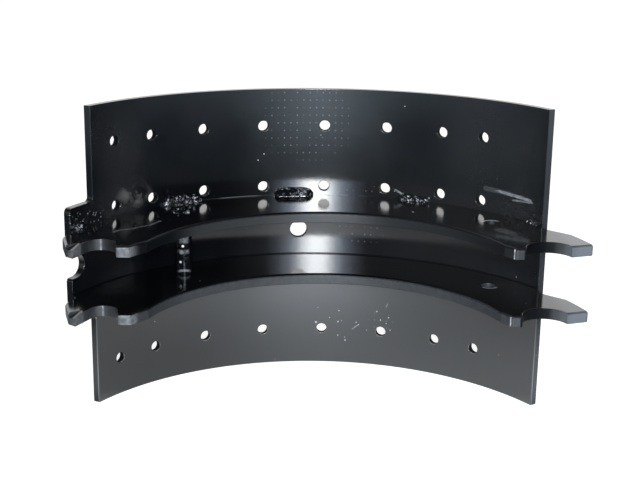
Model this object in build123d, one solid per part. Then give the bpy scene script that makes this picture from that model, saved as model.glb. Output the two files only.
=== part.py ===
from build123d import *
import os
from math import cos, degrees, radians, sin

os.makedirs("parts", exist_ok=True)

# Core of an S-cam drum brake shoe: a rolled steel table that carries the riveted lining,
# two parallel webs blanked with one tool, a cross pin for the return spring, and the weld
# beads that hold them together.
#
# Every piece is drawn about the drum's axis, at the middle of the shoe's width. +Z runs along
# the axis, +Y points through the middle of the rivet pattern, and an angle is measured about
# Z from +Y towards +X. The cam roller end is at negative angles, the anchor pin end at
# positive ones. The finished pieces move down +Y by the table's outer radius, so that the
# origin is on the lining face in the middle of the rivet pattern. Lengths are in millimetres
# and angles in degrees.

# Table
DRUM_R = 210.0
LINING_T = 20.0
TABLE_T = 5.0
TABLE_W = 216.3
TABLE_CAM_ANGLE = -52.5
TABLE_ANCHOR_ANGLE = 62.8
TABLE_STOCK_ANGLE = 1.0

# Tongue at the table's cam end, with its notch between the webs
TONGUE_L = 25.8
TONGUE_W = 83.0
TONGUE_CORNER_R = 3.6
TONGUE_ROOT_R = 3.0
NOTCH_W = 16.5
NOTCH_L = 14.6
NOTCH_LIP_R = 2.2

# Rivet holes: columns by angle, rows by height, both mirrored about the pattern's middle
RIVET_HOLE_D = 8.0
RIVET_COLUMN_ANGLES = (7.17, 21.56, 34.9, 45.28)
RIVET_ROWS = (34.2, 80.5)
SIGHT_HOLE_D = 13.0
SIGHT_HOLE_ANGLE = 1.3

# Webs
WEB_T = 7.6
WEB_GAP = 38.8
FIT_GAP = 0.15
WEB_ROLLOVER_R = 1.9
WEB_DEPTH = 59.7
BELLY_CENTRE = (4.0, 5.7)

# Cam roller seat, and its horns' corners: the wall beyond the seat at each, and its direction
# about the seat's centre, from the toe on
ROLLER_SETBACK = 34.5
ROLLER_AT_ANGLE = -67.7
ROLLER_SEAT_R = 10.25
ROLLER_SEAT_MOUTH_ANGLES = (160.0, -9.0)
OUTER_HORN_WALLS = (9.3, 12.2, 21.2)
OUTER_HORN_ANGLES = (208.0, 191.0, 145.5)
INNER_HORN_WALLS = (2.8, 10.8, 13.6)
INNER_HORN_ANGLES = (-36.0, -24.5, -8.5)
HORN_CORNER_R = 2.1
HORN_HEEL_R = 8.0
HORN_ROOT_R = 4.0
HORN_TO_BELLY_ANGLE = 3.6
TOE_BEVEL_L = 8.0
TOE_BEVEL_DEPTH = 2.4

# Anchor pin seat, its shoulder and the tail beyond it
ANCHOR_SETBACK = 29.2
ANCHOR_AT_ANGLE = 80.2
ANCHOR_SEAT_R = 16.0
ANCHOR_SEAT_MOUTH_ANGLES = (14.0, 178.0)
SHOULDER_WALL = 6.8
SHOULDER_TO_BELLY_ANGLE = 4.6
TAIL_RISE = 2.9
TAIL_START_ANGLE = 8.9
TAIL_TIP_ANGLE = 0.6
TAIL_CORNER_R = 2.2

# Reliefs where the webs leave the table's ends: setback from the table's inner face
RELIEF_DEPTH = 3.8
CAM_RELIEF_L = 3.0
TAIL_RELIEF_L = 9.0
RELIEF_R = 2.5

# Cross pin for the return spring and the spring hole at the anchor end
PIN_D = 11.5
PIN_SETBACK = 20.9
PIN_AT_ANGLE = -30.8
PIN_HOLE_CLEARANCE = 0.1
SPRING_HOLE_D = 11.0
SPRING_HOLE_SETBACK = 23.4
SPRING_HOLE_AT_ANGLE = 54.3

# Weld beads along each web, by their ends and their legs, and the pin's plug welds
BEAD_ANGLES = ((-59.6, -57.0), (-33.0, -23.8), (-4.6, 4.6), (24.8, 32.4), (58.2, 62.2))
BEAD_LEGS = (4.0, 5.8, 5.2, 5.4, 3.8)
BEAD_CROWN_RATIO = 0.64
PLUG_WELD_D = 16.0
PLUG_WELD_TOP_D = 9.0
PLUG_WELD_H = 3.2

TABLE_R = DRUM_R - LINING_T
TABLE_INNER_R = TABLE_R - TABLE_T
TONGUE_END_ANGLE = TABLE_CAM_ANGLE - degrees(TONGUE_L / TABLE_R)
RIM_R = TABLE_INNER_R - FIT_GAP
BELLY_R = TABLE_INNER_R - WEB_DEPTH
TAIL_R = TABLE_INNER_R + TAIL_RISE
ROLLER_AT_R = TABLE_INNER_R - ROLLER_SETBACK
ANCHOR_AT_R = TABLE_INNER_R - ANCHOR_SETBACK
PIN_AT_R = TABLE_INNER_R - PIN_SETBACK
SPRING_HOLE_AT_R = TABLE_INNER_R - SPRING_HOLE_SETBACK
WEB_LOW_Z = WEB_GAP / 2
WEB_HIGH_Z = WEB_LOW_Z + WEB_T


def at(radius, angle, z=0.0):
    """The point at a radius from the drum's axis, an angle from +Y and a height."""
    return Vector(radius * sin(radians(angle)), radius * cos(radians(angle)), z)


def around(centre, radius, direction):
    """The point at a distance from a centre, in a direction measured from +X."""
    return centre + Vector(radius * cos(radians(direction)), radius * sin(radians(direction)), 0)


def radial_plane(radius, angle, z=0.0):
    """A plane that faces outward from the axis, with its x along the rim, to larger angles."""
    tangent = (cos(radians(angle)), -sin(radians(angle)), 0)
    return Plane(origin=at(radius, angle, z), x_dir=tangent, z_dir=at(1, angle))


def round_corners(face, corners):
    """Fillet the face's vertex that lies nearest each point, with that point's radius."""
    for point, radius in corners:
        face = fillet(face.vertices().sort_by_distance(point)[0], radius)
    return face


def sector(inner, outer, start, end, width):
    """A ring sector about Z between two angles, centred on z = 0."""
    middle = (start + end) / 2
    outline = [
        ThreePointArc(at(outer, start), at(outer, middle), at(outer, end)),
        Line(at(outer, end), at(inner, end)),
        ThreePointArc(at(inner, end), at(inner, middle), at(inner, start)),
        Line(at(inner, start), at(outer, start)),
    ]
    return extrude(make_face(outline), amount=width / 2, both=True)


def tongue_waste():
    """The solid to cut from the table's cam end, which leaves the notched tongue."""
    middle = (TABLE_CAM_ANGLE + TONGUE_END_ANGLE) / 2
    root = TONGUE_L / 2
    tongue = Pos(root, 0) * Rectangle(TONGUE_L, TONGUE_W, align=(Align.MAX, Align.CENTER))
    outer = Vector(root - TONGUE_L, TONGUE_W / 2)
    tongue = round_corners(tongue, [(outer, TONGUE_CORNER_R), (Vector(outer.X, -outer.Y), TONGUE_CORNER_R)])
    slot = Pos(root - TONGUE_L, 0) * Rectangle(NOTCH_L - NOTCH_W / 2, NOTCH_W, align=(Align.MIN, Align.CENTER))
    slot += Pos(root - TONGUE_L + NOTCH_L - NOTCH_W / 2, 0) * Circle(NOTCH_W / 2)
    tongue -= slot
    lip = Vector(root - TONGUE_L, NOTCH_W / 2)
    tongue = round_corners(tongue, [(lip, NOTCH_LIP_R), (Vector(lip.X, -lip.Y), NOTCH_LIP_R)])
    zone = Pos(root, 0) * Rectangle(2 * TONGUE_L, TABLE_W + 2 * TABLE_T, align=(Align.MAX, Align.CENTER))
    waste = zone - tongue
    inner_corners = [(Vector(root, side * TONGUE_W / 2), TONGUE_ROOT_R) for side in (1, -1)]
    waste = round_corners(waste, inner_corners)
    return extrude(radial_plane(TABLE_R - TABLE_T / 2, middle) * waste, amount=3 * TABLE_T, both=True)


def radial_hole(diameter, angle, z=0.0):
    return radial_plane(TABLE_R - TABLE_T / 2, angle, z) * Cylinder(diameter / 2, 2 * TABLE_T)


def make_table():
    """Rolled table with its tongue, four rows of rivet holes and the sight hole."""
    stock_end = TONGUE_END_ANGLE - TABLE_STOCK_ANGLE
    table = sector(TABLE_INNER_R, TABLE_R, stock_end, TABLE_ANCHOR_ANGLE, TABLE_W)
    table -= tongue_waste()
    holes = [
        radial_hole(RIVET_HOLE_D, side * column, end * row)
        for column in RIVET_COLUMN_ANGLES
        for row in RIVET_ROWS
        for side in (1, -1)
        for end in (1, -1)
    ]
    return table - holes - radial_hole(SIGHT_HOLE_D, SIGHT_HOLE_ANGLE)


def horn(walls, directions):
    """The corners of one of the roller seat's horns, from its toe on."""
    roller = at(ROLLER_AT_R, ROLLER_AT_ANGLE)
    return [around(roller, ROLLER_SEAT_R + wall, turn) for wall, turn in zip(walls, directions)]


def web_outline():
    """Outline of both webs, as the edges that stay sharp and the edges that get rolled over."""
    roller = at(ROLLER_AT_R, ROLLER_AT_ANGLE)
    anchor = at(ANCHOR_AT_R, ANCHOR_AT_ANGLE)
    belly = Vector(*BELLY_CENTRE)
    rim_start, rim_end = at(RIM_R, TONGUE_END_ANGLE), at(RIM_R, TABLE_ANCHOR_ANGLE)

    tail_relief = at(RIM_R - RELIEF_DEPTH, TABLE_ANCHOR_ANGLE + degrees(TAIL_RELIEF_L / RIM_R))
    cam_relief = at(RIM_R - RELIEF_DEPTH, TONGUE_END_ANGLE - degrees(CAM_RELIEF_L / RIM_R))
    tail_angles = (ANCHOR_AT_ANGLE - TAIL_START_ANGLE, ANCHOR_AT_ANGLE - TAIL_TIP_ANGLE)
    tail_start, tail_end = [at(TAIL_R, angle) for angle in tail_angles]

    seat_out, seat_in = [around(anchor, ANCHOR_SEAT_R, turn) for turn in ANCHOR_SEAT_MOUTH_ANGLES]
    shoulder = around(anchor, ANCHOR_SEAT_R + SHOULDER_WALL, ANCHOR_SEAT_MOUTH_ANGLES[1])
    belly_end = belly + at(BELLY_R, ANCHOR_AT_ANGLE - SHOULDER_TO_BELLY_ANGLE)
    belly_start = belly + at(BELLY_R, ROLLER_AT_ANGLE + HORN_TO_BELLY_ANGLE)

    inner_horn = horn(INNER_HORN_WALLS, INNER_HORN_ANGLES)
    outer_horn = horn(OUTER_HORN_WALLS, OUTER_HORN_ANGLES)
    roller_out, roller_in = [around(roller, ROLLER_SEAT_R, turn) for turn in ROLLER_SEAT_MOUTH_ANGLES]

    sharp = [
        ThreePointArc(rim_start, at(RIM_R, 0), rim_end),
        ThreePointArc(seat_out, around(anchor, ANCHOR_SEAT_R, 90), seat_in),
        Line(inner_horn[0], roller_in),
        ThreePointArc(roller_in, around(roller, ROLLER_SEAT_R, 90), roller_out),
        Line(roller_out, outer_horn[0]),
    ]
    rolled = [
        Polyline(rim_end, tail_relief, tail_start),
        ThreePointArc(tail_start, at(TAIL_R, sum(tail_angles) / 2), tail_end),
        Line(tail_end, seat_out),
        Polyline(seat_in, shoulder, belly_end),
        ThreePointArc(belly_end, belly + at(BELLY_R, 0), belly_start),
        Polyline(belly_start, *reversed(inner_horn)),
        Polyline(*outer_horn, cam_relief, rim_start),
    ]
    corners = [
        (inner_horn[1], HORN_CORNER_R),
        (inner_horn[2], HORN_HEEL_R),
        (belly_start, HORN_ROOT_R),
        (outer_horn[1], HORN_CORNER_R),
        (outer_horn[2], HORN_HEEL_R),
        (cam_relief, RELIEF_R),
        (tail_relief, RELIEF_R),
        (tail_start, RELIEF_R),
        (tail_end, TAIL_CORNER_R),
        (shoulder, TAIL_CORNER_R),
    ]
    return sharp, rolled, corners


def toe_bevel():
    """Wedge that thins the upper side of the outer horn's toe."""
    toe = horn(OUTER_HORN_WALLS, OUTER_HORN_ANGLES)[0]
    run = (toe - at(ROLLER_AT_R, ROLLER_AT_ANGLE)).normalized()
    start = toe - run * TOE_BEVEL_L + Vector(0, 0, WEB_T)
    frame = Plane(origin=start, x_dir=run, z_dir=run.cross(Vector(0, 0, 1)))
    reach = 3 * TOE_BEVEL_L
    wedge = make_face(Polyline((0, 0), (reach, 0), (reach, -3 * TOE_BEVEL_DEPTH), close=True))
    return extrude(frame * wedge, amount=TOE_BEVEL_L, both=True)


def make_web():
    """One web on z = 0, with its rolled upper edges up and its two holes."""
    sharp, rolled, corners = web_outline()
    web = extrude(round_corners(make_face(sharp + rolled), corners), amount=WEB_T)

    def is_rolled(edge):
        middle = Vector((edge @ 0.5).X, (edge @ 0.5).Y)
        return all(piece.distance_to(middle) > 0.01 for piece in sharp)

    web = fillet([edge for edge in web.edges().group_by(Axis.Z)[-1] if is_rolled(edge)], WEB_ROLLOVER_R)
    web -= toe_bevel()
    pin_hole = Pos(at(PIN_AT_R, PIN_AT_ANGLE)) * Cylinder(PIN_D / 2 + PIN_HOLE_CLEARANCE, 4 * WEB_T)
    spring_hole = Pos(at(SPRING_HOLE_AT_R, SPRING_HOLE_AT_ANGLE)) * Cylinder(SPRING_HOLE_D / 2, 4 * WEB_T)
    return web - pin_hole - spring_hole


def make_pin():
    """Cross pin through both webs, flush with their outer faces."""
    return Pos(at(PIN_AT_R, PIN_AT_ANGLE)) * Cylinder(PIN_D / 2, 2 * WEB_HIGH_Z)


def bead_section(angle, leg):
    """Section of a bead across the joint: two legs and a crown between them."""
    corner = at(RIM_R, angle, WEB_HIGH_Z)
    up, inward = Vector(0, 0, leg), at(-leg, angle)
    crown = corner + (up + inward) * BEAD_CROWN_RATIO
    return make_face(Polyline(corner, corner + up, crown, corner + inward, close=True))


def make_bead(start, end, leg):
    """Convex fillet bead on the upper web's outer face, with rounded ends."""
    bead = revolve(bead_section(start, leg), Axis.Z, start - end)
    for angle, turn in ((start, 90), (end, -90)):
        corner = at(RIM_R, angle, WEB_HIGH_Z)
        bead += revolve(bead_section(angle, leg), Axis(corner, (0, 0, 1)), turn)
    return bead


def make_plug_weld():
    """Low cone of weld over the pin's upper end."""
    on_web = (Align.CENTER, Align.CENTER, Align.MIN)
    cone = Cone(PLUG_WELD_D / 2, PLUG_WELD_TOP_D / 2, PLUG_WELD_H, align=on_web)
    return Pos(at(PIN_AT_R, PIN_AT_ANGLE, WEB_HIGH_Z)) * cone


def mirrored(shape):
    """The same weld on the lower web's outer face."""
    return mirror(shape, about=Plane.XY)


web = make_web()
nodes = {
    "table": make_table(),
    "web_upper": Pos(0, 0, WEB_LOW_Z) * web,
    "web_lower": Pos(0, 0, -WEB_HIGH_Z) * web,
    "spring_pin": make_pin(),
    "pin_weld_upper": make_plug_weld(),
    "pin_weld_lower": mirrored(make_plug_weld()),
}
for number, (ends, leg) in enumerate(zip(BEAD_ANGLES, BEAD_LEGS), start=1):
    nodes[f"weld_upper_{number}"] = make_bead(*ends, leg)
    nodes[f"weld_lower_{number}"] = mirrored(make_bead(*ends, leg))

for name, shape in nodes.items():
    export_step(Pos(0, -TABLE_R, 0) * shape, f"parts/{name}.step")
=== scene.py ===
"""A bare steel brake shoe in glossy black paint, on a pale studio floor."""
import math
import random

import bmesh
import bpy
from mathutils import Matrix, Vector, noise


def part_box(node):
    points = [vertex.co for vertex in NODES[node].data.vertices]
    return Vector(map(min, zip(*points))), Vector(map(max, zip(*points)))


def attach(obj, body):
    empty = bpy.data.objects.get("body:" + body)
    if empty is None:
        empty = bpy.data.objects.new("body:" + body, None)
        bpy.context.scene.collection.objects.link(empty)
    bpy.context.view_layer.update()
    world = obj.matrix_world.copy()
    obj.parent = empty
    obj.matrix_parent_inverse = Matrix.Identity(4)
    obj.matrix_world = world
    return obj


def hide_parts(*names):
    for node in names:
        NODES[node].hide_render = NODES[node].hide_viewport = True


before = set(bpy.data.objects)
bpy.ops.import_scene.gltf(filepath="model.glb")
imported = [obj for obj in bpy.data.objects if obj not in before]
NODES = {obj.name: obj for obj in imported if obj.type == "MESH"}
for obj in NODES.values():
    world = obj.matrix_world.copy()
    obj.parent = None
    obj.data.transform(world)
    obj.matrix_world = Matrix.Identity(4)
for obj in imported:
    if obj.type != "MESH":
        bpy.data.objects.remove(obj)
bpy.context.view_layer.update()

# The row's origin is on the lining face: the drum's axis runs along Z at y = AXIS_Y.
AXIS_Y = -0.190
TABLE_R = 0.190
INNER_R = 0.185
WEB_TOP = 0.027
WEB_BOTTOM = 0.0194
FLOOR_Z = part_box("table")[0].z

# Beads on each web as (first angle, last angle, leg in metres, roughness, ripple, spatter).
BEADS = (
    (-59.6, -57.0, 0.0040, 1.0, 0.0, 34),
    (-33.0, -22.4, 0.0043, 1.0, 0.0, 22),
    (-4.6, 4.7, 0.0058, 0.10, 0.06, 2),
    (24.8, 32.4, 0.0038, 0.5, 0.05, 6),
    (58.2, 62.2, 0.0028, 0.8, 0.0, 10),
)
PIN = Vector((-0.08403, -0.04904, 0.0))
PIN_HALF = 0.0056


def at(radius, angle, z=0.0):
    """The point at a radius from the drum's axis, an angle in degrees from +Y and a height."""
    turn = math.radians(angle)
    return Vector((radius * math.sin(turn), radius * math.cos(turn) + AXIS_Y, z))


def link(obj):
    bpy.context.scene.collection.objects.link(obj)
    return obj


# ---------------------------------------------------------------- camera

# Fitted to the photograph: the camera's angles in degrees, its place, and its image in pixels.
PITCH, YAW, ROLL = 15.518, 5.651, 0.5754
CAMERA_PLACE = (-0.090989, -0.729496 + AXIS_Y, 0.246901)
SENSOR_MM = 36.0
PHOTO_W, PHOTO_H = 640, 480
FOCAL_PX = 1239.04
CENTRE_PX = (292.25, 239.49)


def camera():
    """The photograph's camera, fitted to the shoe's edges and rows of holes."""
    pitch, yaw, roll = (math.radians(angle) for angle in (PITCH, YAW, ROLL))
    forward = Vector((math.sin(yaw) * math.cos(pitch), math.cos(yaw) * math.cos(pitch),
                      -math.sin(pitch)))
    level = Vector((math.cos(yaw), -math.sin(yaw), 0))
    upright = level.cross(forward)
    right = math.cos(roll) * level + math.sin(roll) * upright
    up = -math.sin(roll) * level + math.cos(roll) * upright
    data = bpy.data.cameras.new("camera")
    data.sensor_width = SENSOR_MM
    data.lens = SENSOR_MM * FOCAL_PX / PHOTO_W
    data.shift_x = (PHOTO_W / 2 - CENTRE_PX[0]) / PHOTO_W
    data.shift_y = -(PHOTO_H / 2 - CENTRE_PX[1]) / PHOTO_W
    data.clip_start, data.clip_end = 0.01, 40
    cam = link(bpy.data.objects.new("camera", data))
    turn = Matrix((right, up, -forward)).transposed().to_4x4()
    cam.matrix_world = Matrix.Translation(CAMERA_PLACE) @ turn
    bpy.context.scene.camera = cam
    return cam


# ---------------------------------------------------------------- shader helpers

class Nodes:
    """Short calls that add shader nodes to one tree and link them."""

    def __init__(self, tree):
        self.tree = tree
        tree.nodes.clear()

    def put(self, socket, value):
        if isinstance(value, bpy.types.NodeSocket):
            self.tree.links.new(value, socket)
        else:
            socket.default_value = value

    def add(self, kind, **values):
        node = self.tree.nodes.new(kind)
        for key, value in values.items():
            self.put(node.inputs[key.replace("_", " ")], value)
        return node

    def math(self, operation, a, b=0.0, c=0.0, clamp=False):
        node = self.tree.nodes.new("ShaderNodeMath")
        node.operation, node.use_clamp = operation, clamp
        for socket, value in zip(node.inputs, (a, b, c)):
            self.put(socket, value)
        return node.outputs[0]

    def vector(self, operation, a, b=(0, 0, 0), scale=1.0):
        node = self.tree.nodes.new("ShaderNodeVectorMath")
        node.operation = operation
        self.put(node.inputs[0], a)
        self.put(node.inputs[1], b)
        self.put(node.inputs[3], scale)
        return node.outputs["Value" if operation in ("LENGTH", "DOT_PRODUCT", "DISTANCE") else "Vector"]

    def dot(self, place, spot, radius, strength=1.0):
        """A soft round spot on the plane of place."""
        away = self.vector("DISTANCE", place, (*spot, 0))
        return self.step(away, radius * 0.55, radius * 1.15, strength, 0.0)

    def line(self, place, start, end, width, strength=1.0):
        """A soft line from start to end on the plane of place."""
        first, run = Vector((*start, 0)), Vector((*end, 0)) - Vector((*start, 0))
        offset = self.vector("SUBTRACT", place, first)
        along = self.vector("DOT_PRODUCT", offset, run / run.length_squared)
        along = self.math("ADD", along, 0.0, clamp=True)
        foot = self.vector("SCALE", tuple(run), scale=along)
        away = self.vector("DISTANCE", offset, foot)
        return self.step(away, width * 0.3, width * 0.65, strength, 0.0)

    def away(self, place, centre, spread):
        """How far place is from a centre, with each direction multiplied by its spread."""
        offset = self.vector("SUBTRACT", place, centre)
        return self.vector("LENGTH", self.vector("MULTIPLY", offset, spread))

    def noise(self, coords, scale, detail=2.0, rough=0.5, output="Fac", stretch=None):
        if stretch:
            coords = self.vector("MULTIPLY", coords, stretch)
        node = self.add("ShaderNodeTexNoise", Vector=coords, Scale=scale, Detail=detail, Roughness=rough)
        return node.outputs[output]

    def step(self, value, low, high, out_low=0.0, out_high=1.0):
        """Smoothly takes value's span from low to high onto out_low to out_high."""
        node = self.tree.nodes.new("ShaderNodeMapRange")
        node.interpolation_type = "SMOOTHSTEP"
        for socket, number in zip(node.inputs, (value, low, high, out_low, out_high)):
            self.put(socket, number)
        return node.outputs[0]

    def band(self, value, low, full, fading, gone):
        """One between full and fading, falling smoothly to nothing at low and at gone."""
        return self.math("MULTIPLY", self.step(value, low, full),
                         self.step(value, fading, gone, 1.0, 0.0))

    def mix(self, amount, a, b):
        node = self.tree.nodes.new("ShaderNodeMix")
        node.data_type = "RGBA"
        for socket, value in ((node.inputs[0], amount), (node.inputs[6], a), (node.inputs[7], b)):
            self.put(socket, value)
        return node.outputs[2]

    def largest(self, values):
        total = values[0]
        for value in values[1:]:
            total = self.math("MAXIMUM", total, value)
        return total

    def product(self, values):
        total = values[0]
        for value in values[1:]:
            total = self.math("MULTIPLY", total, value)
        return total

    def output(self, shader, kind="ShaderNodeOutputMaterial"):
        self.tree.links.new(shader.outputs[0], self.tree.nodes.new(kind).inputs[0])


def new_material(name):
    material = bpy.data.materials.new(name)
    material.use_nodes = True
    return material, Nodes(material.node_tree)


# ---------------------------------------------------------------- paint

PAINT = (0.0014, 0.0018, 0.0024, 1)
PAINT_WORN = (0.0034, 0.0038, 0.0046, 1)
# The paler black that the paint turns to toward the right end and in mottled patches on the cut edges.
PAINT_PALER = (0.0064, 0.0072, 0.0080, 1)
CUT_EDGE = (0.0085, 0.0092, 0.0102, 1)
# The bare-metal grey of real chips and scratches, also used for painted glints and painted highlights.
CHIP_AND_GLINT = (0.62, 0.64, 0.66, 1)
# The tint of a soft patch of painted light on the table's face.
LIT_PATCH_TINT = (0.10, 0.097, 0.092, 1)
# The grey of painted highlight streaks on the table's face.
STREAK_SHINE = (0.36, 0.37, 0.38, 1)
# The pale grey of painted light on the tails, the lower web's sides and the table's right end.
PAINTED_LIGHT_GREY = (0.085, 0.095, 0.105, 1)
PAINT_IOR = 1.56

# The dull haze over the table's lower part. Its high IOR makes it strong.
HAZE_ROUGHNESS = 0.34
HAZE_IOR = 2.3

# Marks on the table's inner face as (distance round the face from +Y, height), in metres.
CHIPS = (
    (0.0188, -0.0756, 0.0013), (0.0367, -0.0655, 0.0009), (0.0293, -0.0716, 0.0006),
    (0.0361, -0.0747, 0.0010), (0.0388, -0.0737, 0.0007), (0.0502, -0.0743, 0.0009),
    (0.0522, -0.0762, 0.0007), (0.0587, -0.0802, 0.0006), (0.0665, -0.0642, 0.0008),
    (0.0695, -0.0709, 0.0007), (0.0758, -0.0682, 0.0008), (0.0740, -0.0733, 0.0006),
    (0.0773, -0.0783, 0.0006), (0.0363, -0.0859, 0.0008), (0.0414, -0.0873, 0.0006),
    (0.0419, -0.0898, 0.0009), (-0.1708, 0.0472, 0.0008), (-0.1970, 0.0401, 0.0007),
    (-0.0227, 0.0593, 0.0006), (-0.0273, 0.0548, 0.0006), (0.1044, 0.0302, 0.0008),
)
SCRATCHES = (
    ((0.0515, -0.0768), (0.0472, -0.0803), 0.0007, 0.5),
    ((0.0735, -0.0598), (0.0747, -0.0572), 0.0010, 0.25),
)
# Painted highlight streaks on the face's upper part, near the welds.
HIGHLIGHT_STREAKS = (
    ((0.1500, 0.0440), (0.1720, 0.0432), 0.0034, 0.09),
    ((0.1590, 0.0438), (0.1840, 0.0432), 0.0012, 0.30),
    ((0.1620, 0.0437), (0.1905, 0.0420), 0.0019, 0.46),
    ((0.1660, 0.0429), (0.1880, 0.0416), 0.0014, 0.40),
    ((0.1740, 0.0394), (0.1920, 0.0407), 0.0013, 0.34),
    ((0.0780, 0.0336), (0.0832, 0.0312), 0.0015, 0.50),
    ((0.0832, 0.0312), (0.0926, 0.0287), 0.0015, 0.60),
)
# The middle of a soft patch of painted light on the table's face.
LIT_PATCH_MIDDLE = (-0.1303, 0.0383)
SPARKLES = (-0.1790, 0.0270)

# Painted reflection of a lamp panel's grid: its pitch, and each patch as (middle, reciprocal of its
# size).
LAMP_GRID_PITCH = (0.0048, 0.0057)
LAMP_GRID_PATCHES = (
    ((0.010, 0.085, 0), (26.0, 28.0, 0)),
    ((0.052, 0.012, 0), (42.0, 38.0, 0)),
    ((0.070, -0.071, 0), (85.0, 85.0, 0)),
)

# Marks on the webs as places in the row's X and Y, in metres. Those on the sides run the
# web's whole thickness.
# The marks on the sides are painted highlights: pale patches on the horn fronts and small glints by the
# anchor seat.
SIDE_HIGHLIGHTS = (
    (-0.1628, -0.1240, 0.0075, 0.07), (-0.1540, -0.1400, 0.0075, 0.09),
    (-0.1228, -0.1370, 0.0072, 0.15), (-0.1393, -0.1215, 0.0014, 0.35),
    (0.1303, -0.1610, 0.0008, 0.60), (0.1330, -0.1640, 0.0007, 0.55),
    (0.1362, -0.1640, 0.0008, 0.60),
)
TOP_STREAK = (
    (-0.1320, -0.1052), (-0.1275, -0.1003), (-0.1208, -0.0981), (-0.1141, -0.0932),
    (-0.1074, -0.0882), (-0.1006, -0.0777),
)
SMUDGE = ((0.1325, -0.1160), (0.1368, -0.1230))
TOP_SPECKS = ((0.0814, -0.0627, 0.0010), (-0.0462, -0.0093, 0.0009), (0.0288, -0.1044, 0.0009))
ANCHOR_SEAT = (0.153527, -0.163481)
SPRING_HOLE = (0.131233, -0.095700)
SMOKED = (-0.0850, -0.0600, 0.0)


def paint_base(n, coords):
    """Colour, roughness and height that all the black paint shares."""
    cloud = n.noise(coords, 14.0, 4.0, 0.55)
    grain = n.noise(coords, 900.0, 2.0, 0.6)
    colour = n.mix(n.step(cloud, 0.35, 0.7), PAINT, PAINT_WORN)
    across = n.add("ShaderNodeSeparateXYZ", Vector=coords).outputs[0]
    # The paint turns paler toward the right end.
    haze = n.step(n.math("MULTIPLY_ADD", cloud, 0.03, across), 0.045, 0.150)
    colour = n.mix(n.math("MULTIPLY", haze, 0.85), colour, PAINT_PALER)
    rough = n.math("ADD", n.step(cloud, 0.35, 0.75, 0.09, 0.15),
                   n.step(grain, 0.5, 0.8, 0.0, 0.04))
    peel = n.noise(coords, 75.0, 2.0, 0.5)
    height = n.math("ADD", n.math("MULTIPLY", peel, 0.8), n.math("MULTIPLY", grain, 0.06))
    return colour, rough, height


def finish_paint(n, colour, rough, height, bump=0.05, edge=0.0008, gloss=0.5, haze=0.0):
    """Glossy paint under a share of dull haze, with edges rounded to the given radius."""
    rounded = n.add("ShaderNodeBevel", Radius=edge)
    bumped = n.add("ShaderNodeBump", Strength=bump, Distance=0.001, Height=height,
                   Normal=rounded.outputs[0])
    shader = n.add("ShaderNodeBsdfPrincipled", Base_Color=colour, Roughness=rough,
                   Normal=bumped.outputs[0])
    shader.inputs["IOR"].default_value = PAINT_IOR
    n.put(shader.inputs["Specular IOR Level"], gloss)
    n.put(shader.inputs["Coat Weight"], haze)
    shader.inputs["Coat Roughness"].default_value = HAZE_ROUGHNESS
    shader.inputs["Coat IOR"].default_value = HAZE_IOR
    n.output(shader)


def specks(n, coords, scale, size, share):
    """Small round dots on a share of the cells of an even scatter."""
    cells = n.add("ShaderNodeTexVoronoi", Vector=coords, Scale=scale)
    near = n.step(cells.outputs["Distance"], size * 0.6, size, 1.0, 0.0)
    chance = n.add("ShaderNodeSeparateColor", Color=cells.outputs["Color"]).outputs[0]
    pick = n.math("LESS_THAN", chance, share)
    return n.math("MULTIPLY", near, pick)


def weld_paint():
    """Paint over spattered weld metal, with painted glints in bright curls."""
    material, n = new_material("weld_paint")
    coords = n.add("ShaderNodeNewGeometry").outputs["Position"]
    colour, rough, height = paint_base(n, coords)
    # Painted glints: bright curls where the noise crosses its middle.
    level = n.noise(coords, 520.0, 1.0, 0.5)
    glint_curls = n.step(n.math("ABSOLUTE", n.math("SUBTRACT", level, 0.5)), 0.008, 0.024, 1.0, 0.0)
    patches = n.step(n.noise(coords, 230.0, 1.0, 0.5), 0.52, 0.60)
    colour = n.mix(n.product([glint_curls, patches, 0.85]), colour, CHIP_AND_GLINT)
    # Dust specks, painted bright as painted glints.
    dust_and_glints = specks(n, coords, 300.0, 0.13, 0.10)
    colour = n.mix(n.math("MULTIPLY", dust_and_glints, 0.7), colour, CHIP_AND_GLINT)
    finish_paint(n, colour, rough, height, 0.12, 0.0002)
    return material


def bead_paint(name, glints):
    """Smooth paint over the neater beads, with painted glints in small curls and a faint painted sheen.
    """
    material, n = new_material(name)
    coords = n.add("ShaderNodeNewGeometry").outputs["Position"]
    colour, rough, height = paint_base(n, coords)
    # Painted glints in bright curls, and a faint painted sheen of mottled grey in the same patches.
    level = n.noise(coords, 430.0, 2.0, 0.5)
    glint_curls = n.step(n.math("ABSOLUTE", n.math("SUBTRACT", level, 0.5)), 0.006, 0.022, 1.0, 0.0)
    patches = n.step(n.noise(coords, 170.0, 1.0, 0.5), 0.46, 0.60)
    colour = n.mix(n.product([glint_curls, patches, glints]), colour, CHIP_AND_GLINT)
    mottle = n.step(n.noise(coords, 700.0, 2.0, 0.6), 0.48, 0.68)
    colour = n.mix(n.product([mottle, patches, glints * 0.22]), colour, CHIP_AND_GLINT)
    finish_paint(n, colour, rough, height, 0.12, 0.0002)
    return material


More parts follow.
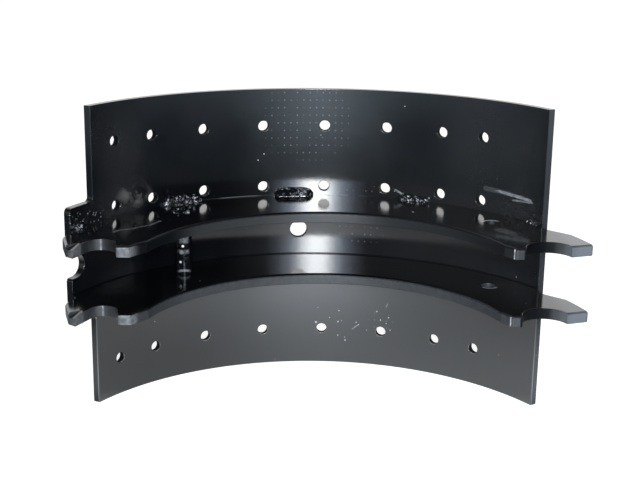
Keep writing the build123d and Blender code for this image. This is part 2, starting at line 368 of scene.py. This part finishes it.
def pin_paint():
    """Thick uneven paint on the spring pin, with painted highlights: grey patches on its front, two dots
    and a pale arc at its foot.
    """
    material, n = new_material("pin_paint")
    coords = n.add("ShaderNodeNewGeometry").outputs["Position"]
    colour, rough, height = paint_base(n, coords)
    x, y, z = n.add("ShaderNodeSeparateXYZ", Vector=coords).outputs
    # Painted highlights: grey bands on the pin's front, two dots, and a pale arc at its foot.
    mottle = n.noise(coords, 520.0, 3.0, 0.6)
    upper = n.band(z, 0.0035, 0.0045, 0.0090, 0.0105)
    lower = n.band(z, -0.0046, -0.0036, -0.0014, -0.0004)
    from_middle = n.math("SUBTRACT", x, PIN.x)
    front = n.step(n.math("ABSOLUTE", from_middle), 0.0022, 0.0044, 1.0, 0.0)
    highlight_patches = n.product([n.math("MAXIMUM", upper, n.math("MULTIPLY", lower, 1.2)), front,
                      n.step(mottle, 0.40, 0.58, 0.25, 1.0), 0.16])
    spots = [(PIN.x - 0.0008, 0.0019, 0.0010, 1.0), (PIN.x - 0.0026, -0.0101, 0.0009, 0.7)]
    place = n.add("ShaderNodeCombineXYZ", X=x, Y=z, Z=0.0).outputs[0]
    highlight_dots = n.largest([n.dot(place, spot[:2], spot[2], spot[3]) for spot in spots])
    aside = n.math("DIVIDE", from_middle, PIN_HALF)
    arch = n.math("MULTIPLY_ADD", n.math("MULTIPLY", aside, aside), 0.0016, z)
    foot = n.product([n.band(arch, -0.0176, -0.0170, -0.0160, -0.0152),
                      n.step(n.math("ABSOLUTE", aside), 0.4, 1.0, 1.0, 0.0), 0.17])
    colour = n.mix(n.largest([highlight_patches, highlight_dots, foot]), colour, CHIP_AND_GLINT)
    broken = n.step(n.noise(coords, 330.0, 2.0, 0.5), 0.42, 0.58, 0.01, 0.12)
    finish_paint(n, colour, n.math("ADD", rough, 0.12), height, 0.5, gloss=broken)
    return material


def web_edges(n, colour, x, z, sides, mottle):
    """Duller cut edges, painted light that makes the lower web's sides paler, and painted shade that
    darkens the cam end.
    """
    colour = n.mix(sides, colour, CUT_EDGE)
    # Painted light: the lower web's sides are painted paler.
    lower_web_light = n.step(z, -0.005, 0.005, 0.16, 0.0)
    colour = n.mix(n.product([sides, lower_web_light]), colour, PAINTED_LIGHT_GREY)
    # Painted shade: the paint is darker toward the cam end.
    cam_end_shade = n.step(x, -0.108, -0.070, 1.0, 0.0)
    colour = n.mix(n.math("MULTIPLY", cam_end_shade, 0.45), colour, PAINT)
    mottled = n.product([sides, n.step(mottle, 0.42, 0.62), n.step(x, 0.150, 0.160, 0.45, 0.15)])
    return n.mix(mottled, colour, PAINT_PALER)


def web_marks_and_highlights(n, coords, place, y, z, sides, tops, mottle):
    """Painted highlights on the sides and on the rims of the spring holes, and rubbed spots on the upper
    web's top.
    """
    # Painted highlights on the web sides: pale patches on the horn fronts and small glints by the anchor
    # seat.
    marks_and_highlights = n.largest([n.dot(place, spot[:2], spot[2], spot[3]) for spot in SIDE_HIGHLIGHTS])
    marks_and_highlights = n.product([marks_and_highlights, sides, n.step(mottle, 0.38, 0.62, 0.35, 1.0)])

    upper_top = n.product([tops, n.step(z, 0.0255, 0.0265)])
    legs = zip(TOP_STREAK, TOP_STREAK[1:])
    streak = n.largest([n.line(place, one, two, 0.0026, 0.13) for one, two in legs])
    streak = n.math("MAXIMUM", streak, n.line(place, *SMUDGE, 0.0100, 0.075))
    broken = n.step(n.noise(coords, 210.0, 3.0, 0.6), 0.3, 0.6, 0.45, 1.0)
    streak = n.math("MULTIPLY", streak, broken)
    spots = n.largest([n.dot(place, spot[:2], spot[2], 0.8) for spot in TOP_SPECKS])
    worn = n.math("MULTIPLY", n.math("MAXIMUM", streak, spots), upper_top)

    # Painted highlights on the rims of the spring holes.
    from_hole = n.vector("DISTANCE", place, (*SPRING_HOLE, 0))
    ring = n.band(from_hole, 0.0054, 0.0056, 0.0064, 0.0072)
    back = n.step(y, SPRING_HOLE[1] + 0.0015, SPRING_HOLE[1] + 0.0045)
    front = n.step(y, SPRING_HOLE[1] - 0.0048, SPRING_HOLE[1] - 0.0025, 1.0, 0.0)
    below = n.step(z, -0.01, 0.01, 1.0, 0.0)
    upper_rim_highlight = n.product([back, n.math("SUBTRACT", 1.0, below), 0.6])
    lower_rim_highlight = n.product([front, below, 0.45])
    rim_highlights = n.product([n.math("ADD", upper_rim_highlight, lower_rim_highlight), ring, tops])
    return n.largest([marks_and_highlights, worn, rim_highlights])


def web_paint():
    """The webs' paint: glossy flat faces, duller cut edges, and the marks of the photograph, with
    painted highlights, painted light and painted shade.
    """
    material, n = new_material("web_paint")
    surface_info = n.add("ShaderNodeNewGeometry").outputs
    coords = surface_info["Position"]
    colour, rough, height = paint_base(n, coords)
    x, y, z = n.add("ShaderNodeSeparateXYZ", Vector=coords).outputs
    place = n.add("ShaderNodeCombineXYZ", X=x, Y=y, Z=0.0).outputs[0]
    normal_z = n.add("ShaderNodeSeparateXYZ", Vector=surface_info["True Normal"]).outputs[2]
    facing = n.math("ABSOLUTE", normal_z)
    sides = n.step(facing, 0.30, 0.60, 1.0, 0.0)
    tops = n.step(facing, 0.95, 0.99)
    mottle = n.noise(coords, 330.0, 3.0, 0.6)
    colour = web_edges(n, colour, x, z, sides, mottle)

    # Painted light: the tail ends are painted paler.
    tail_light = n.step(n.math("MULTIPLY_ADD", n.noise(coords, 90.0), 0.006, x), 0.166, 0.178)
    colour = n.mix(n.math("MULTIPLY", tail_light, n.step(sides, 0.0, 1.0, 0.6, 0.95)), colour, PAINTED_LIGHT_GREY)

    # Painted shade: stretches of the cut edges that are dark in the photograph are painted darker;
    # painted light makes the tail's edge paler.
    upper_web = n.step(z, 0.0, 0.01)
    from_anchor = n.vector("DISTANCE", place, (*ANCHOR_SEAT, 0))
    shaded_seat = n.product([n.step(from_anchor, 0.0168, 0.0182, 1.0, 0.0),
                      n.step(x, 0.158, 0.166, 1.0, 0.0), sides])
    colour = n.mix(n.math("MULTIPLY", shaded_seat, 0.9), colour, PAINT)
    shaded_left_belly = n.product([n.band(x, -0.117, -0.112, -0.098, -0.070), upper_web, sides])
    colour = n.mix(n.math("MULTIPLY", shaded_left_belly, 0.9), colour, PAINT)
    shaded_right_belly = n.product([n.band(x, 0.030, 0.062, 0.128, 0.132), upper_web, sides])
    colour = n.mix(n.math("MULTIPLY", shaded_right_belly, 0.5), colour, PAINT)
    tail_edge_light = n.math("MULTIPLY", n.step(x, 0.164, 0.170), sides)
    colour = n.mix(n.math("MULTIPLY", tail_edge_light, 0.55), colour, PAINTED_LIGHT_GREY)

    marks_and_highlights = web_marks_and_highlights(n, coords, place, y, z, sides, tops, mottle)
    colour = n.mix(marks_and_highlights, colour, CHIP_AND_GLINT)
    # Dust specks, painted bright as painted glints.
    dust_and_glints = specks(n, coords, 150.0, 0.07, 0.05)
    colour = n.mix(n.math("MULTIPLY", dust_and_glints, 0.5), colour, CHIP_AND_GLINT)

    # Gloss is lost on those dark stretches, in a smoked spot and along the rolled edges.
    rough = n.math("MULTIPLY_ADD", sides, 0.26, rough)
    from_smoke = n.away(place, SMOKED, (1.0, 0.7, 0))
    smoked = n.product([n.step(from_smoke, 0.010, 0.017, 1.0, 0.0), tops,
                        n.step(z, -0.03, 0.0, 1.0, 0.0)])
    rolled = n.product([n.band(facing, 0.05, 0.15, 0.96, 0.99),
                        n.band(x, -0.125, -0.118, 0.15, 0.16)])
    dull = n.largest([shaded_seat, shaded_left_belly, n.math("MULTIPLY", smoked, 0.9),
                      n.math("MULTIPLY", shaded_right_belly, 0.45), n.math("MULTIPLY", rolled, 0.85)])
    gloss = n.step(dull, 0.0, 1.0, 0.5, 0.06)
    finish_paint(n, colour, rough, height, gloss=gloss)
    return material


def table_marks(n, colour, coords, place, inside):
    """The chips, scratches and dust of the inner face, and its painted light: a lit patch, highlight
    streaks, the reflection of a lamp grid and sparkle; with the share where chips and the lit patch make
    it matt.
    """
    ragged = n.vector("SUBTRACT", n.noise(coords, 500.0, 2.0, output="Color"), (0.5, 0.5, 0.5))
    ragged = n.vector("SCALE", ragged, scale=0.0011)
    rough_place = n.vector("MULTIPLY", n.vector("ADD", place, ragged), (1, 1, 0))
    chips = n.largest([n.dot(rough_place, spot[:2], spot[2] * 0.7) for spot in CHIPS])
    scratches = n.largest([n.line(rough_place, *scratch) for scratch in SCRATCHES])
    chips = n.product([n.math("MAXIMUM", chips, scratches), inside, 0.5])

    cloudy = n.noise(coords, 110.0, 4.0, 0.6)
    # Painted light: a soft lit patch in a dusty tint, toward the cam end of the face's upper part.
    lit_patch = n.step(n.away(place, (*LIT_PATCH_MIDDLE, 0), (55.0, 95.0, 0)), 0.3, 1.1, 1.0, 0.0)
    lit_patch = n.product([lit_patch, n.step(cloudy, 0.35, 0.65), inside])
    colour = n.mix(n.math("MULTIPLY", lit_patch, 0.55), colour, LIT_PATCH_TINT)

    # Painted highlights: bright streaks on the face's upper part.
    highlight_streaks = n.largest([n.line(rough_place, *streak) for streak in HIGHLIGHT_STREAKS])
    grain = n.noise(place, 1.0, 3.0, 0.6, stretch=(260.0, 1500.0, 1.0))
    highlight_streaks = n.product([highlight_streaks, n.step(grain, 0.35, 0.6, 0.35, 1.0), inside])
    colour = n.mix(highlight_streaks, colour, STREAK_SHINE)

    # Painted reflection: faint dots of a lamp panel's grid.
    across, up = LAMP_GRID_PITCH
    cell = n.vector("FRACTION", n.vector("MULTIPLY", place, (1 / across, 1 / up, 0)))
    in_cell = n.vector("MULTIPLY", cell, (across, up, 0))
    to_dot = n.vector("DISTANCE", in_cell, (across / 2, up / 2, 0))
    from_grid = 2.0
    for middle, spread in LAMP_GRID_PATCHES:
        from_grid = n.math("MINIMUM", from_grid, n.away(place, middle, spread))
    patchy = n.noise(place, 190.0, 2.0, 0.5)
    highlight_dots = n.product([n.step(to_dot, 0.0003, 0.0008, 1.0, 0.0),
                      n.step(from_grid, 0.6, 1.1, 1.0, 0.0), n.step(patchy, 0.38, 0.55), inside])
    colour = n.mix(n.math("MULTIPLY", highlight_dots, 0.10), colour, CHIP_AND_GLINT)

    from_sparkles = n.away(place, (*SPARKLES, 0), (38.0, 85.0, 0))
    sparkle = n.product([n.step(from_sparkles, 0.5, 1.1, 1.0, 0.0),
                         specks(n, coords, 620.0, 0.42, 0.30), inside, 0.22])
    colour = n.mix(sparkle, colour, CHIP_AND_GLINT)
    # Dust specks, painted bright as painted glints.
    dust_and_glints = specks(n, coords, 150.0, 0.07, 0.05)
    colour = n.mix(n.math("MAXIMUM", chips, n.math("MULTIPLY", dust_and_glints, 0.45)), colour, CHIP_AND_GLINT)
    return colour, n.math("MAXIMUM", chips, lit_patch)


def table_paint():
    """The table's paint, with the marks and painted light of its inner face and duller hole walls."""
    material, n = new_material("table_paint")
    coords = n.add("ShaderNodeNewGeometry").outputs["Position"]
    colour, rough, height = paint_base(n, coords)
    x, y, z = n.add("ShaderNodeSeparateXYZ", Vector=coords).outputs
    y = n.math("SUBTRACT", y, AXIS_Y)
    flat = n.add("ShaderNodeCombineXYZ", X=x, Y=y, Z=0.0).outputs[0]
    radius = n.vector("LENGTH", flat)
    inside = n.math("LESS_THAN", radius, INNER_R + 0.001)
    round_face = n.math("MULTIPLY", n.math("ARCTAN2", x, y), INNER_R)
    place = n.add("ShaderNodeCombineXYZ", X=round_face, Y=z, Z=0.0).outputs[0]
    colour, matt = table_marks(n, colour, coords, place, inside)
    rough = n.math("ADD", rough, n.math("MULTIPLY", matt, 0.35))

    # The walls of the holes, which lie between the two faces and within the table's edges.
    aside, high = n.math("ABSOLUTE", round_face), n.math("ABSOLUTE", z)
    within = n.math("MULTIPLY", n.math("LESS_THAN", high, 0.1),
                    n.math("LESS_THAN", aside, 0.158))
    walls = n.product([n.band(radius, INNER_R + 0.0002, INNER_R + 0.0006,
                              TABLE_R - 0.0006, TABLE_R - 0.0002), within])
    rough = n.math("MULTIPLY_ADD", walls, 0.45, rough)

    # Toward its ends the table's face was sprayed drier, so it is less of a mirror there.
    dry = n.product([n.step(aside, 0.100, 0.140), inside, n.step(z, -0.03, -0.02)])
    rough = n.math("ADD", n.math("MULTIPLY_ADD", dry, 0.12, rough), 0.012)

    # Paint drew a fine dark line in the corners between the webs, and a painted highlight lies in a pale
    # line on their far sides.
    inner_line = n.product([n.band(high, WEB_BOTTOM - 0.0011, WEB_BOTTOM - 0.0007,
                                   WEB_BOTTOM - 0.0002, WEB_BOTTOM), inside])
    from_middle = n.math("ABSOLUTE", n.math("ADD", round_face, 0.010))
    middle_part = n.step(from_middle, 0.045, 0.075, 1.0, 0.0)
    fine = n.noise(place, 1.0, 2.0, 0.5, stretch=(60.0, 60.0, 1.0))
    corner_highlight = n.product([n.band(high, WEB_TOP, WEB_TOP + 0.0001,
                                   WEB_TOP + 0.0004, WEB_TOP + 0.0007), inside,
                            n.step(fine, 0.42, 0.58, 0.2, 1.0), middle_part, 0.11])
    colour = n.mix(corner_highlight, colour, CHIP_AND_GLINT)
    # Painted light: the inner face is painted paler at its right end.
    right_end_light = n.product([n.step(x, 0.150, 0.156),
                           n.step(radius, INNER_R + 0.0002, INNER_R + 0.0006)])
    colour = n.mix(n.math("MULTIPLY", right_end_light, 0.20), colour, PAINTED_LIGHT_GREY)
    dull = n.math("MAXIMUM", walls, n.math("MULTIPLY", inner_line, 0.8))
    gloss = n.step(dull, 0.0, 1.0, 0.5, 0.03)
    lower_part = n.product([n.step(z, -0.034, -0.027, 1.0, 0.0), inside])
    finish_paint(n, colour, rough, height, gloss=gloss, haze=lower_part)
    return material


def dress(obj, material):
    obj.data.materials.clear()
    obj.data.materials.append(material)


# ---------------------------------------------------------------- smooth shading on the CAD nodes

def mean(vectors):
    return sum(vectors, Vector()).normalized()


def table_normals(obj):
    """Smooth normals that point straight at the drum's axis, or away from it."""
    mesh = obj.data
    mesh.shade_smooth()
    mesh.set_sharp_from_angle(angle=math.radians(35))
    normals = [corner.vector.copy() for corner in mesh.corner_normals]
    for face in mesh.polygons:
        for corner in face.loop_indices:
            place = mesh.vertices[mesh.loops[corner].vertex_index].co
            out = Vector((place.x, place.y - AXIS_Y, 0)).normalized()
            facing = face.normal.dot(out)
            if abs(facing) > 0.97:
                normals[corner] = out if facing > 0 else -out
    mesh.normals_split_custom_set(normals)


def plate_normals(obj):
    """Smooth normals for a flat plate: flat faces stay flat, and its sides and rolled edges flow."""
    mesh = obj.data
    mesh.shade_smooth()
    around = {}
    for face in mesh.polygons:
        for vertex in face.vertices:
            around.setdefault(vertex, []).append(face.normal)
    normals = []
    for face in mesh.polygons:
        own = face.normal
        for corner in face.loop_indices:
            near = around[mesh.loops[corner].vertex_index]
            flat = [v for v in near if abs(v.z) > 0.98]
            side = [v for v in near if abs(v.z) < 0.1]
            if abs(own.z) > 0.98:
                chosen = [own]
            elif abs(own.z) < 0.1:
                chosen = [v for v in side if v.dot(own) > 0.88]
            else:
                chosen = ([v for v in flat if v.dot(own) > 0.64]
                          or [v for v in side if v.dot(own) > 0.64]
                          or [v for v in near if v.dot(own) > 0.82])
            normals.append(mean(chosen or [own]))
    mesh.normals_split_custom_set(normals)


# ---------------------------------------------------------------- welds

def surface(name, made, material):
    """A mesh piece on the part, from a bmesh, with smooth outward faces."""
    bmesh.ops.recalc_face_normals(made, faces=made.faces)
    mesh = bpy.data.meshes.new(name)
    made.to_mesh(mesh)
    made.free()
    mesh.shade_smooth()
    piece = link(bpy.data.objects.new(name, mesh))
    dress(piece, material)
    return piece


def rough_noise(place, seed, scale):
    return noise.noise(place * scale + Vector((seed * 3.1, seed * 1.7, seed * 0.9)))


def skin(made, rings):
    """Closed skin over rings of equal length, with a fan at each end."""
    loops = [[made.verts.new(place) for place in ring] for ring in rings]
    for one, two in zip(loops, loops[1:]):
        for i in range(len(one)):
            j = (i + 1) % len(one)
            made.faces.new((one[i], one[j], two[j], two[i]))
    for loop in (loops[0], loops[-1]):
        middle = made.verts.new(sum((v.co for v in loop), Vector()) / len(loop))
        for i in range(len(loop)):
            made.faces.new((loop[i], loop[(i + 1) % len(loop)], middle))


# Steps along a bead and round its section, the pitch of its ripples, and how far it sinks in.
STATION_STEP = 0.00045
SECTIONS = 13
RIPPLE_PITCH = 0.0019
SUNK = 0.0004


def add_bead(made, side, start, end, leg, roughness, ripple, seed):
    """Convex fillet bead in the corner of a web's outer face and the table, with rounded ends."""
    length = math.radians(end - start) * INNER_R
    stations = max(10, round(length / STATION_STEP))
    rings = []
    for i in range(stations + 1):
        along = i / stations
        angle = start + (end - start) * along
        full = max(0.12, 1 - abs(2 * along - 1) ** 5) ** 0.5
        ring = []
        for k in range(SECTIONS + 1):
            turn = math.pi / 2 * k / SECTIONS
            crown = 0.35 / (math.cos(turn) + math.sin(turn)) + 0.65
            place = at(INNER_R, angle, WEB_TOP) + Vector((0, 0, k * 0.0004))
            lumps = 0.60 * rough_noise(place, seed, 420) + 0.55 * rough_noise(place, seed, 1000)
            phase = math.pi * along * length / RIPPLE_PITCH + 0.7 * math.cos(2 * turn)
            scallop = ripple * abs(math.sin(phase))
            head = 0.12 * math.exp(-((along - 0.08) / 0.07) ** 2) * (1 - roughness)
            reach = 1.15 * leg * full * crown * (0.95 + head + roughness * lumps - scallop)
            rise = WEB_TOP + reach * math.sin(turn)
            ring.append(at(INNER_R - reach * math.cos(turn), angle, rise))
        low, back = WEB_TOP - SUNK, INNER_R + SUNK
        ring.append(at(back, angle, ring[-1].z))
        ring.append(at(back, angle, low))
        first = ring[0]
        ring.append(Vector((first.x, first.y, low)))
        rings.append([Vector((p.x, p.y, p.z * side)) for p in ring])
    skin(made, rings)


def add_drop(made, place, normal, radius):
    """A drop of spatter, a little flattened and sunk into the face under it."""
    turn = normal.to_track_quat("Z", "Y").to_matrix().to_4x4()
    squash = Matrix.Diagonal((1, 1, 0.75, 1))
    middle = Matrix.Translation(place - normal * radius * 0.15)
    bmesh.ops.create_icosphere(made, subdivisions=2, radius=radius, matrix=middle @ turn @ squash)


def add_spatter(made, rng, side, angle, spread, count):
    """Drops scattered over the table's inner face and the web's outer face by a weld."""
    for _ in range(count):
        turn = rng.gauss(angle, spread)
        radius = rng.uniform(0.00025, 0.00065)
        if rng.random() < 0.65:
            height = WEB_TOP + abs(rng.gauss(0, 0.006)) + 0.0005
            made_at = at(INNER_R, turn, height)
            normal = (Vector((0, AXIS_Y, 0)) - Vector((made_at.x, made_at.y, 0))).normalized()
        else:
            made_at = at(INNER_R - 0.002 - abs(rng.gauss(0, 0.006)), turn, WEB_TOP)
            normal = Vector((0, 0, 1))
        made_at.z *= side
        normal.z *= side
        add_drop(made, made_at, normal, radius)


PLUG_R = 0.0090
PLUG_RISE = 0.0030
PLUG_RINGS = (1.0, 0.97, 0.9, 0.8, 0.68, 0.55, 0.42, 0.3, 0.18, 0.07)


def add_plug(made, side, seed):
    """Lumpy round weld over the pin's end, with a sunken middle."""
    spokes, rings = 44, []
    for share in PLUG_RINGS:
        ring = []
        for k in range(spokes):
            turn = 2 * math.pi * k / spokes
            lobes = 0.12 * math.sin(2 * turn + seed) + 0.05 * math.sin(5 * turn)
            reach = PLUG_R * share * (0.93 + lobes)
            spot = PIN + Vector((reach * math.cos(turn), reach * math.sin(turn), 0))
            lumps = 0.55 * rough_noise(spot, seed, 380) + 0.5 * rough_noise(spot, seed + 9, 950)
            dip = 0.0011 * math.exp(-((share / 0.25) ** 2))
            rise = PLUG_RISE * (1 - share ** 3) ** 0.5 * (0.8 + 1.3 * lumps) - dip
            ring.append(Vector((spot.x, spot.y, side * (WEB_TOP - 0.0003 + max(0.0, rise)))))
        rings.append(ring)
    foot = [Vector((p.x, p.y, side * (WEB_TOP - 0.0008))) for p in rings[0]]
    skin(made, [foot] + rings)


def weld(node, material, build):
    """One weld piece that stands for a CAD weld node."""
    made = bmesh.new()
    build(made)
    piece = surface(f"{node}_bead", made, material)
    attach(piece, "root")
    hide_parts(node)


def welds(material, neat, quiet):
    """Every weld of both webs. The third bead is neat, and the last two are quieter."""
    rng = random.Random(7)
    for side, word in ((1, "upper"), (-1, "lower")):
        for number, (start, end, leg, roughness, ripple, drops) in enumerate(BEADS, start=1):
            seed = 10 * number + (3 if side < 0 else 0)
            middle, spread = (start + end) / 2, max(1.6, (end - start) / 3)

            def build(made):
                add_bead(made, side, start, end, leg, roughness, ripple, seed)
                add_spatter(made, rng, side, middle, spread, drops)

            paint = {3: neat, 4: quiet, 5: quiet}.get(number, material)
            weld(f"weld_{word}_{number}", paint, build)

        weld(f"pin_weld_{word}", material, lambda made: add_plug(made, side, 5.0 + side))


# ---------------------------------------------------------------- light

# Disks round the camera that make one lamp with a soft bluish rim: (diameter, watts, colour).
LAMPS = (
    (0.18, 4.0, (1.0, 1.0, 0.98)),
    (0.26, 4.6, (0.97, 1.0, 1.0)),
    (0.36, 3.6, (0.85, 0.95, 1.08)),
    (0.51, 3.3, (0.78, 0.92, 1.15)),
    (0.66, 2.3, (0.78, 0.92, 1.15)),
)
LAMP_AIM = Vector((0.02, -0.05, 0.0))
LAMPS_BEHIND = 0.1
LAMPS_RIGHT = 0.048
LAMP_STEP = 0.004

# Where the floor's lit lane starts, and the middle of the dimmer floor under the shoe.
LANE_START = (0.008, -0.070, FLOOR_Z)
UNDER_SHOE = (0.008, -0.105, FLOOR_Z)

# Strengths, where 1 is white: what camera rays add to the floor, the sky that lights the
# shoe, and what the sky adds where it is seen.
FLOOR_LIFT = 0.55
SKY = 0.6
SKY_SEEN = 0.4


def soft_disk(name, place, target, size, power, colour):
    """A round lamp at place that faces its target."""
    data = bpy.data.lights.new(name, "AREA")
    data.shape = "DISK"
    data.size = size
    data.energy = power
    data.color = colour
    lamp = link(bpy.data.objects.new(name, data))
    lamp.location = place
    lamp.rotation_euler = (target - place).to_track_quat("-Z", "Y").to_euler()


def studio_floor(n):
    """What gloss sees in the floor: pale paper, darker under the shoe, and a lit lane in front.

    Where 1 is white it reaches nearly 3.9, so that the paint's reflections match the photograph.
    """
    place = n.add("ShaderNodeNewGeometry").outputs["Position"]
    apart = n.vector("SUBTRACT", place, LANE_START)
    offset = n.add("ShaderNodeSeparateXYZ", Vector=apart).outputs
    away = n.vector("LENGTH", apart)
    turn = n.math("ARCTAN2", offset[0], n.math("MULTIPLY", offset[1], -1.0))
    width = n.math("MULTIPLY_ADD", away, 0.10, 0.165)
    share = n.math("DIVIDE", n.math("ADD", turn, 0.06), width)
    lane = n.math("POWER", 2.718, n.math("MULTIPLY", n.math("MULTIPLY", share, share), -0.5))

    under = n.step(n.vector("DISTANCE", place, UNDER_SHOE), 0.135, 0.195, 1.0, 0.0)
    clear = n.math("SUBTRACT", 1.0, under)
    dim = n.math("MULTIPLY", under, n.step(offset[0], -0.05, 0.12, 0.22, 0.35))
    near = n.step(n.away(place, LANE_START, (1.2, 1.0, 1.0)), 0.25, 0.47, 1.35, 0.12)
    near = n.math("MULTIPLY", near, n.math("ADD", clear, dim))
    far = n.step(away, 0.95, 1.30, 0.0, 0.42)
    lane_near = n.math("MULTIPLY", n.step(away, 0.30, 0.60, 2.5, 0.6), clear)
    lane_far = n.step(away, 0.78, 0.95, 0.0, 1.30)
    lit = n.math("MULTIPLY", lane, n.math("ADD", lane_near, lane_far))
    strength = n.math("ADD", n.math("ADD", near, far), lit)
    tint = n.mix(n.step(away, 0.4, 0.9), (0.92, 0.97, 1.0, 1), (0.72, 0.88, 1.0, 1))
    return strength, tint


def floor_and_world():
    """A pale floor that keeps the shadow, and a white world whose room only gloss sees."""
    mesh = bpy.data.meshes.new("floor")
    made = bmesh.new()
    bmesh.ops.create_grid(made, x_segments=1, y_segments=1, size=15.0)
    made.to_mesh(mesh)
    made.free()
    floor = link(bpy.data.objects.new("floor", mesh))
    floor.location = (0, -0.1, FLOOR_Z - 0.0003)
    material, n = new_material("floor_paper")
    path = n.add("ShaderNodeLightPath")
    paper = n.add("ShaderNodeBsdfDiffuse", Color=(0.8, 0.8, 0.8, 1))
    lift = n.add("ShaderNodeEmission", Color=(1, 1, 1, 1),
                 Strength=n.math("MULTIPLY", path.outputs["Is Camera Ray"], FLOOR_LIFT))
    seen = n.tree.nodes.new("ShaderNodeAddShader")
    n.put(seen.inputs[0], paper.outputs[0])
    n.put(seen.inputs[1], lift.outputs[0])
    strength, tint = studio_floor(n)
    glow = n.add("ShaderNodeEmission", Color=tint, Strength=strength)
    shader = n.tree.nodes.new("ShaderNodeMixShader")
    n.put(shader.inputs[0], path.outputs["Is Glossy Ray"])
    n.put(shader.inputs[1], seen.outputs[0])
    n.put(shader.inputs[2], glow.outputs[0])
    n.output(shader)
    mesh.materials.append(material)

    world = bpy.data.worlds.new("studio")
    bpy.context.scene.world = world
    world.use_nodes = True
    w = Nodes(world.node_tree)
    path = w.add("ShaderNodeLightPath")
    toward = w.add("ShaderNodeTexCoord").outputs["Generated"]
    heading = w.add("ShaderNodeSeparateXYZ", Vector=toward).outputs
    back = w.step(heading[1], 0.20, 0.70, -0.56, 0.62)
    front = w.math("MULTIPLY", w.step(heading[0], 0.22, 0.62, 0.50, 0.0),
                   w.step(heading[2], 0.35, 0.60, 1.0, 0.0))
    front = w.math("MULTIPLY", front, w.math("LESS_THAN", heading[1], 0.0))
    room = w.math("MULTIPLY", path.outputs["Is Glossy Ray"], w.math("ADD", back, front))
    seen = w.math("MAXIMUM", path.outputs["Is Camera Ray"], path.outputs["Is Transmission Ray"])
    extra = w.math("ADD", w.math("MULTIPLY", seen, SKY_SEEN), room)
    sky = w.add("ShaderNodeBackground", Color=(1, 1, 1, 1), Strength=w.math("ADD", extra, SKY))
    w.output(sky, "ShaderNodeOutputWorld")


# ---------------------------------------------------------------- the scene

shot = camera()
dress(NODES["table"], table_paint())
table_normals(NODES["table"])
webs = web_paint()
for name, material in (("web_upper", webs), ("web_lower", webs), ("spring_pin", pin_paint())):
    dress(NODES[name], material)
    plate_normals(NODES[name])
welds(weld_paint(), bead_paint("bead_paint", 0.55), bead_paint("quiet_paint", 0.45))
floor_and_world()
eye = shot.matrix_world.translation
behind = (eye - LAMP_AIM).normalized()
right = shot.matrix_world.to_3x3().col[0]
middle = eye + behind * LAMPS_BEHIND + right * LAMPS_RIGHT
for number, (size, power, colour) in enumerate(LAMPS, start=1):
    place = middle + behind * LAMP_STEP * number
    soft_disk(f"lamp_{number}", place, LAMP_AIM, size, power, colour)

scene = bpy.context.scene
scene.view_settings.view_transform = "Standard"
